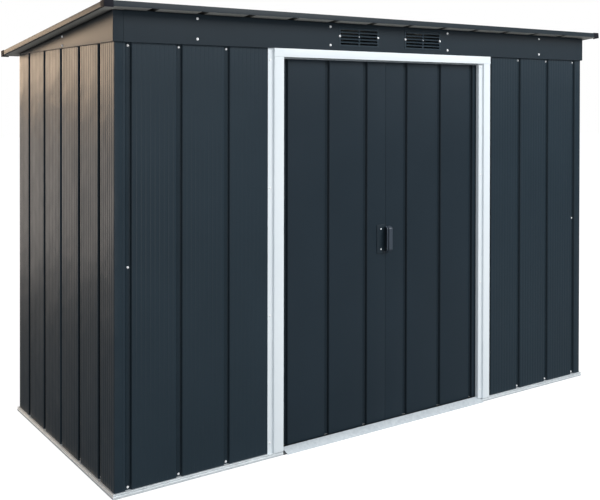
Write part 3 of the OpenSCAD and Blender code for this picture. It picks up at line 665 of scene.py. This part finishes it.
def roof_rib(i, parts="ab", h=ROOF_RIB_H):
    """A raised roof rib at its place i: its first slope (a), its second slope (b), or both."""
    c = (i + 0.5) * RIB_PITCH - ROOF_RIB_SHIFT
    first = [[c - ROOF_RIB_FOOT, 0], [c - ROOF_RIB_TOP, h]]
    last = [[c + ROOF_RIB_TOP, h], [c + ROOF_RIB_FOOT, 0]]
    return (first if "a" in parts else []) + (last if "b" in parts else [])


def roof_under(i):
    """Edge of a roof sheet on a rib."""
    return roof_rib(i, "a") + roof_rib(i, "b")[:1]


def roof_over(i):
    """Edge of the next roof sheet, over that rib."""
    return roof_rib(i, "a", ROOF_RIB_H + SHEET)[1:] + roof_rib(i, "b", ROOF_RIB_H + SHEET)


# Pale primer: warm grey, with painted shade where it runs in under the roof.
underside = painted("pale_roof_underside", "#A8A7A2", "#B8B7B1", rough=0.55, peel_mm=2.0, peel=0.1,
                    hollow=0.08, reach_mm=70, alone=False)
edge = ROOF_W / 2 - STRIP - CLEAR
reach = ROOF_L / 2 - STRIP - CLEAR
ways = [
    [[-edge, 0]] + roof_rib(-6) + roof_rib(-5) + roof_rib(-4) + roof_under(-3),
    roof_over(-3) + roof_rib(-2) + roof_rib(-1) + roof_under(0),
    roof_over(0) + roof_rib(1) + roof_rib(2) + roof_under(3),
    roof_over(3) + roof_rib(4) + roof_rib(5) + [[edge, 0]],
]
for i, way in enumerate(ways, 1):
    points, faces, top = swept(way, SHEET, ROOF_BEND, (ACROSS, RISE, DOWN), ROOF_O, (-reach, reach))
    below = np.zeros(len(top), bool)
    below[:len(rounded(way, ROOF_BEND)) - 1] = True
    piece(f"roof_{i}", (points, faces, below), paint, "shed", [f"roof_sheet_{i}"], underside)

# Roof trims: 1.2 mm painted strip folded over the edges of the roof sheets, mitred at the corners. Those
# at the sides are hemmed along their lower edge.

TRIM_TOP = 19.8
TRIM_LAP = 28.0
TRIM_LOW = -1.0
HEM_LOW = -1.3
HEM_W = 8.0
TRIM_BEND = 2.0
# Along, inward, middle of the edge, and half of its length, for each side of the roof.
ROOF_SIDES = {
    "front": (ACROSS, DOWN, -DOWN * ROOF_L / 2, ROOF_W / 2),
    "back": (-ACROSS, -DOWN, DOWN * ROOF_L / 2, ROOF_W / 2),
    "left": (-DOWN, ACROSS, -ACROSS * ROOF_W / 2, ROOF_L / 2),
    "right": (DOWN, -ACROSS, ACROSS * ROOF_W / 2, ROOF_L / 2),
}
# Satin polyester: as the walls', but darker and with less gloss.
trim_paint = painted("anthracite_trim_paint", "#162229", "#1C2931", specular=0.16)
lapped = [[TRIM_LAP, TRIM_TOP], [0, TRIM_TOP]]
plain = lapped + [[0, TRIM_LOW]]
hemmed = lapped + [[0, HEM_LOW], [HEM_W, HEM_LOW]]
for side, (along, inward, place, half) in ROOF_SIDES.items():
    way = plain if side in ("front", "back") else hemmed
    trim = swept(way, STRIP, TRIM_BEND, (inward, RISE, along), ROOF_O + place, (-half, half), (1, -1))
    piece("trim_" + side, trim, trim_paint, "shed", ["roof_trim_" + side])

# Corner caps: moulded shells pushed over the trims where they meet, each a top and two sides with
# rounded edges. Dark grey polypropylene: matt, with next to no gloss.

CAP_W = 34.5
# The front caps are shorter down the slope, so that they stay within the shed's own depth.
CAP_FRONT = 34.1
CAP_H = TRIM_TOP + 6.5
CAP_IN = 33.0
CAP_LOW = -5.0
CAP_WALL = 1.5
CAP_ROUND = 1.2

cap_plastic = painted("moulded_grey_plastic", "#1A1B21", "#23242B", rough=0.6, specular=0.08, peel_mm=1.0,
                      peel=0.15)
cap_shape = np.array([[0, 0, 1], [1, 0, 1], [1, 1, 1], [0, 1, 1], [1, 0, 0], [1, 1, 0], [0, 1, 0]], float)
cap_faces = np.array([[0, 1, 2, 3], [1, 4, 5, 2], [2, 5, 6, 3]])
shells = []
for mx in (-1, 1):
    for my in (-1, 1):
        size = np.array([CAP_W, CAP_W if my > 0 else CAP_FRONT, CAP_H])
        local = cap_shape * size + [ROOF_W / 2 - CAP_IN, ROOF_L / 2 - CAP_IN, CAP_LOW]
        spot = ROOF_O + local @ np.array([mx * ACROSS, my * DOWN, RISE])
        shells.append((spot / 1000, cap_faces if mx * my > 0 else cap_faces[:, ::-1], np.zeros(3, bool)))
caps = piece("corner_caps", joined(*shells), cap_plastic, "shed", ["roof_corner_caps"],
             sharp=60)
thick = caps.modifiers.new("wall", "SOLIDIFY")
thick.thickness = CAP_WALL / 1000
thick.offset = -1
soft_edge = caps.modifiers.new("round", "BEVEL")
soft_edge.width = CAP_ROUND / 1000
soft_edge.segments = 3
soft_edge.limit_method = "ANGLE"

# Door frame: two jambs folded from 1.2 mm strip and a header over them, screwed to the front wall.
# White polyester paint, satin and even; the header's underside is painted nearly black as shade.

IN_X = OPEN_W / 2
FRONT = (DOOR_X, -HALF_D, 0)
JAMB_PROUD = 10.0
JAMB_RETURN = 16.0
JAMB_FLANGE = 24.0
JAMB_BEND = 1.8
LEFT_FACE = 46.0
RIGHT_FACE = 42.0
RIGHT_TUCK = 30.0
RAIL_ROOM = 40.0
HEADER_H = 34.0
HEADER_LIP = 2.0
HEADER_BEND = 0.8
PLATE_BEND = 1.0

white_paint = painted("white_polyester_paint", "#E6EFF4", "#EFF6F9", rough=0.38, specular=0.4, peel=0.1)


def jamb(name, way, replaced):
    """A jamb stood beside the doorway: its return is shorter at the top, round the top rail."""
    short = np.minimum(way, [np.inf, WALL_IN - CLEAR])
    plan = ((1, 0, 0), (0, 1, 0), UP)
    step_z = TOP_Z - RAIL_ROOM - CLEAR
    low = swept(way, -STRIP, JAMB_BEND, plan, FRONT, (WALL_Z, step_z))
    high = swept(short, -STRIP, JAMB_BEND, plan, FRONT, (step_z, TOP_Z))
    piece(name, joined(low, high), white_paint, "shed", [replaced])


left_x = -IN_X - LEFT_FACE
right_x = IN_X + JAMB_FLANGE + RIGHT_FACE
jamb("jamb_left",
     [[-IN_X, JAMB_RETURN], [-IN_X, -JAMB_PROUD], [left_x, -JAMB_PROUD], [left_x, -STRIP],
      [left_x - JAMB_FLANGE, -STRIP]], "door_jamb_left")
jamb("jamb_right",
     [[right_x - RIGHT_TUCK, 0], [right_x, 0], [right_x, -JAMB_PROUD], [IN_X + JAMB_FLANGE, -JAMB_PROUD],
      [IN_X + JAMB_FLANGE, -STRIP], [IN_X, -STRIP], [IN_X, JAMB_RETURN]], "door_jamb_right")

axes = ((0, 1, 0), UP, (1, 0, 0))
face = -JAMB_PROUD - STRIP
header_z = TOP_Z - HEADER_H
inner_x = IN_X - CLEAR
plate = [[face, TOP_Z], [face, header_z + HEADER_LIP], [-JAMB_PROUD - CLEAR, header_z]]
box = [[face + HEADER_LIP, TOP_Z], [face, TOP_Z], [face, header_z], [-JAMB_PROUD, header_z]]
beam = swept(box, STRIP, HEADER_BEND, axes, FRONT, (-inner_x, inner_x))
left_end = swept(plate, STRIP, PLATE_BEND, axes, FRONT, (left_x, -inner_x))
right_end = swept(plate, STRIP, PLATE_BEND, axes, FRONT, (inner_x, right_x))
piece("header", joined(beam, left_end, right_end), white_paint, "shed", ["door_header"])

# Painted shade: the header's underside, matt and nearly black without gloss, stands for the shadow under
# it.
header_shade_paint = painted("painted_shade_header_underside", "#0B0D0F", "#121518", rough=0.9, specular=0.0, peel=0.1)
shelf = swept([[-JAMB_PROUD, header_z], [WALL_IN - CLEAR, header_z]], STRIP, 0, axes, FRONT,
              (-inner_x, inner_x))
shelf_end = swept([[-JAMB_PROUD, header_z], [-STRIP - CLEAR, header_z]], STRIP, 0, axes, FRONT,
                  (inner_x, IN_X + JAMB_FLANGE - 2 * CLEAR))
piece("header_shelf", joined(shelf, shelf_end), header_shade_paint, "shed", ["door_header"])

# Jamb screws: the same zinc-plated screws, a size smaller, driven through the jambs' flanges into the
# front wall at four heights.

LEFT_SCREW = 60.0
JAMB_SCREW_Z = (60, 560, 1060, 1560)

columns = (DOOR_X - IN_X - LEFT_SCREW, DOOR_X + IN_X + JAMB_FLANGE / 2)
spots = [(c, -HALF_D - STRIP, z) for c in columns for z in JAMB_SCREW_Z]
screws("screws_jambs", spots, OUT_FRONT, size=0.8)

# Doors: two sliding leaves of the same ribbed sheet with smooth flats, folded in at the upright edges, on
# painted channels behind their tops and bottoms, which hang on black moulded slides.
# Satin anthracite polyester, painted a shade darker than the walls' as painted shade behind the
# frame, and with painted shade in the ribs.

LEAF_IN = 19.0
LEAF_X0 = 0.5
LEAF_LAP = 27.0
LEAF_X1 = IN_X + LEAF_LAP
LEAF_FOLD = 15.0
LEAF_FOOT = 25.0
LEAF_HEAD_GAP = 10.2
LEAF_RIB = 112.0
# The outer rib stands a little further out on the left leaf, as in the photo.
OUTER_RIB = {"left": 518.0, "right": 512.0}
MEETING_BEND = 0.5
RIB_BEND = 1.8
OUTER_BEND = 1.6

# Painted shade: a darker copy of the walls' paint, darkened further in the ribs by occlusion.
door_paint = painted("anthracite_door_paint", "#16242D", "#1B2A34", hollow=0.0, closed=0.56)
for name, side in HANDS:
    ribs = [rib(c) + [0, LEAF_IN] for c in (LEAF_RIB, LEAF_RIB + RIB_PITCH, OUTER_RIB[name])]
    meeting = [[LEAF_X0, LEAF_IN + LEAF_FOLD], [LEAF_X0, LEAF_IN]]
    outer = [[LEAF_X1, LEAF_IN], [LEAF_X1, LEAF_IN + LEAF_FOLD]]
    leaf = np.vstack([meeting, *ribs, outer])
    bends = np.array([MEETING_BEND] + [RIB_BEND] * (len(leaf) - 4) + [OUTER_BEND])
    shape = swept(leaf, SHEET, bends, ((side, 0, 0), (0, 1, 0), UP), FRONT,
                  (LEAF_FOOT, TOP_Z - LEAF_HEAD_GAP))
    piece("leaf_" + name, shape, door_paint, "door_" + name, [f"door_{name}_panel"], backing)
dress(paint, "door_left_rails", "door_right_rails")
# Moulded nylon: black, with a fine grain.
black = painted("moulded_black_plastic", "#17191C", "#1F2226", rough=0.45, specular=0.5, peel_mm=0.8,
                peel=0.2)
dress(black, "door_left_slides", "door_right_slides")

# Door pull: a moulded flange screwed to the left leaf, with a hollow grip that reaches over the right
# leaf and is open towards the left.
# Dark grey ABS with a fine grain; the grip is glossier, and painted paler as a painted highlight.

PULL = np.array([DOOR_X, LEAF_IN - HALF_D, 808.0])
FLANGE_X = -24.7
FLANGE_D = 3.0
GRIP_X = 5.0
GRIP_WALL = 1.2
BACK_X = 10.0
PULL_SCREW_X = -37.5
PULL_SCREW_Z = 43.5

flange_plastic = painted("moulded_dark_plastic", "#1B272F", "#212E37", rough=0.45, peel_mm=0.7, peel=0.2)
# Painted highlight: the grip is a paler copy of the flange's plastic.
grip_plastic_highlit = painted("moulded_grip_plastic", "#333D47", "#3D4752", rough=0.38, specular=0.5, peel_mm=0.7,
                       peel=0.2)


def pillow(w, h, r, d, edge, steps=5, around=48):
    """A plate with round corners of radius r and a round front edge: rings of a round rectangle that
    shrink by edge (1 - cos a) as they rise by edge sin a, a from 0 to a quarter turn."""
    turn = (np.arange(around) + 0.5) * 2 * np.pi / around
    corner = np.column_stack([np.sign(np.cos(turn)) * (w / 2 - r), np.sign(np.sin(turn)) * (h / 2 - r)])
    way = np.column_stack([np.cos(turn), np.sin(turn)])
    a = np.linspace(0, np.pi / 2, steps)
    shrink = np.concatenate([[0], edge * (1 - np.cos(a))])
    rise = np.concatenate([[0], d - edge + edge * np.sin(a)])
    flat = corner[None] + way[None] * (r - shrink)[:, None, None]
    points = np.concatenate([flat, np.broadcast_to(rise[:, None, None], flat.shape[:2] + (1,))], -1)
    k, n = points.shape[:2]
    ring, spoke = np.meshgrid(np.arange(k - 1), np.arange(n), indexing="ij")
    i, j = ring * n + spoke, ring * n + (spoke + 1) % n
    quads = np.stack([i, j, j + n, i + n], -1).reshape(-1, 4)
    m = np.arange(n // 2 - 1)
    lid = np.column_stack([m, m + 1, n - 2 - m, n - 1 - m])
    return points.reshape(-1, 3), np.vstack([quads, lid[:, ::-1], lid + (k - 1) * n])


def grip(w, h, d, wall, lift, dome=12.0, steps=24, tip=0.12, taper=0.25):
    """A hollow bar with domed ends: its section is a hook from the left lip over the front and down the
    right side; at a height z the hook is scaled by sqrt(1 - t^2), t from 0 to 1 over the domed end, with
    the tip as the least of that root's square, and narrows by the taper."""
    a = -w / 2
    # The lip, a groove 7 mm deep, then the front and the right side.
    hook = [[a, d - 4.5], [a, d], [a + 6, d], [a + 6.6, d - 7], [a + 10.6, d - 7], [a + 11.2, d - 0.5],
            [w / 2, d - 0.5], [w / 2, lift]]
    line = rounded(hook, np.array([2.8, 2.8, 0.6, 0.6, 2, 6]), 8)
    section = np.vstack([line, moved(line, -wall)[::-1]])
    t = np.linspace(-1, 1, steps)
    z = np.sign(t) * (1 - (1 - np.abs(t)) ** 2) * h / 2
    end = np.clip((np.abs(z) - (h / 2 - dome)) / dome, 0, 1)
    scale = np.sqrt(np.maximum(1 - end ** 2, tip))
    out = lift + (section[None, :, 1] - lift) * scale[:, None]
    across = section[None, :, 0] * (1 - taper + taper * scale)[:, None]
    points = np.stack([across, np.broadcast_to(z[:, None], out.shape), out], -1)
    k, n = out.shape
    ring, spoke = np.meshgrid(np.arange(k - 1), np.arange(n), indexing="ij")
    i, j = ring * n + spoke, ring * n + (spoke + 1) % n
    quads = np.stack([i, i + n, j + n, j], -1).reshape(-1, 4)
    m = np.arange(n // 2 - 1)
    lid = np.column_stack([m, m + 1, n - 2 - m, n - 1 - m])
    return points.reshape(-1, 3), np.vstack([quads, lid, lid[:, ::-1] + (k - 1) * n])


def placed(shape, x, out=0.0):
    """A shape drawn across, up and out of the door, at a place across the pull and out of the leaf."""
    points, faces = shape
    spot = PULL + (points + [x, 0, out]) @ np.array([[1, 0, 0], [0, 0, 1], [0, -1, 0]])
    return spot / 1000, faces, np.zeros(len(faces), bool)


flange = placed(pillow(w=48, h=124, r=6, d=FLANGE_D, edge=1.5), FLANGE_X)
bar = placed(grip(w=33, h=110, d=27, wall=GRIP_WALL, lift=GRIP_WALL), GRIP_X)
back_plate = placed(pillow(w=21, h=104, r=8, d=1.4, edge=0.5), BACK_X, GRIP_WALL)
piece("pull_flange", flange, flange_plastic, "door_left", ["door_handle"])
piece("pull_grip", joined(bar, back_plate), grip_plastic_highlit, "door_left", ["door_handle"])
spots = [(PULL_SCREW_X, PULL[1] - FLANGE_D, PULL[2] + z) for z in (-PULL_SCREW_Z, PULL_SCREW_Z)]
screws("screws_pull", spots, OUT_FRONT, size=0.65, body="door_left")
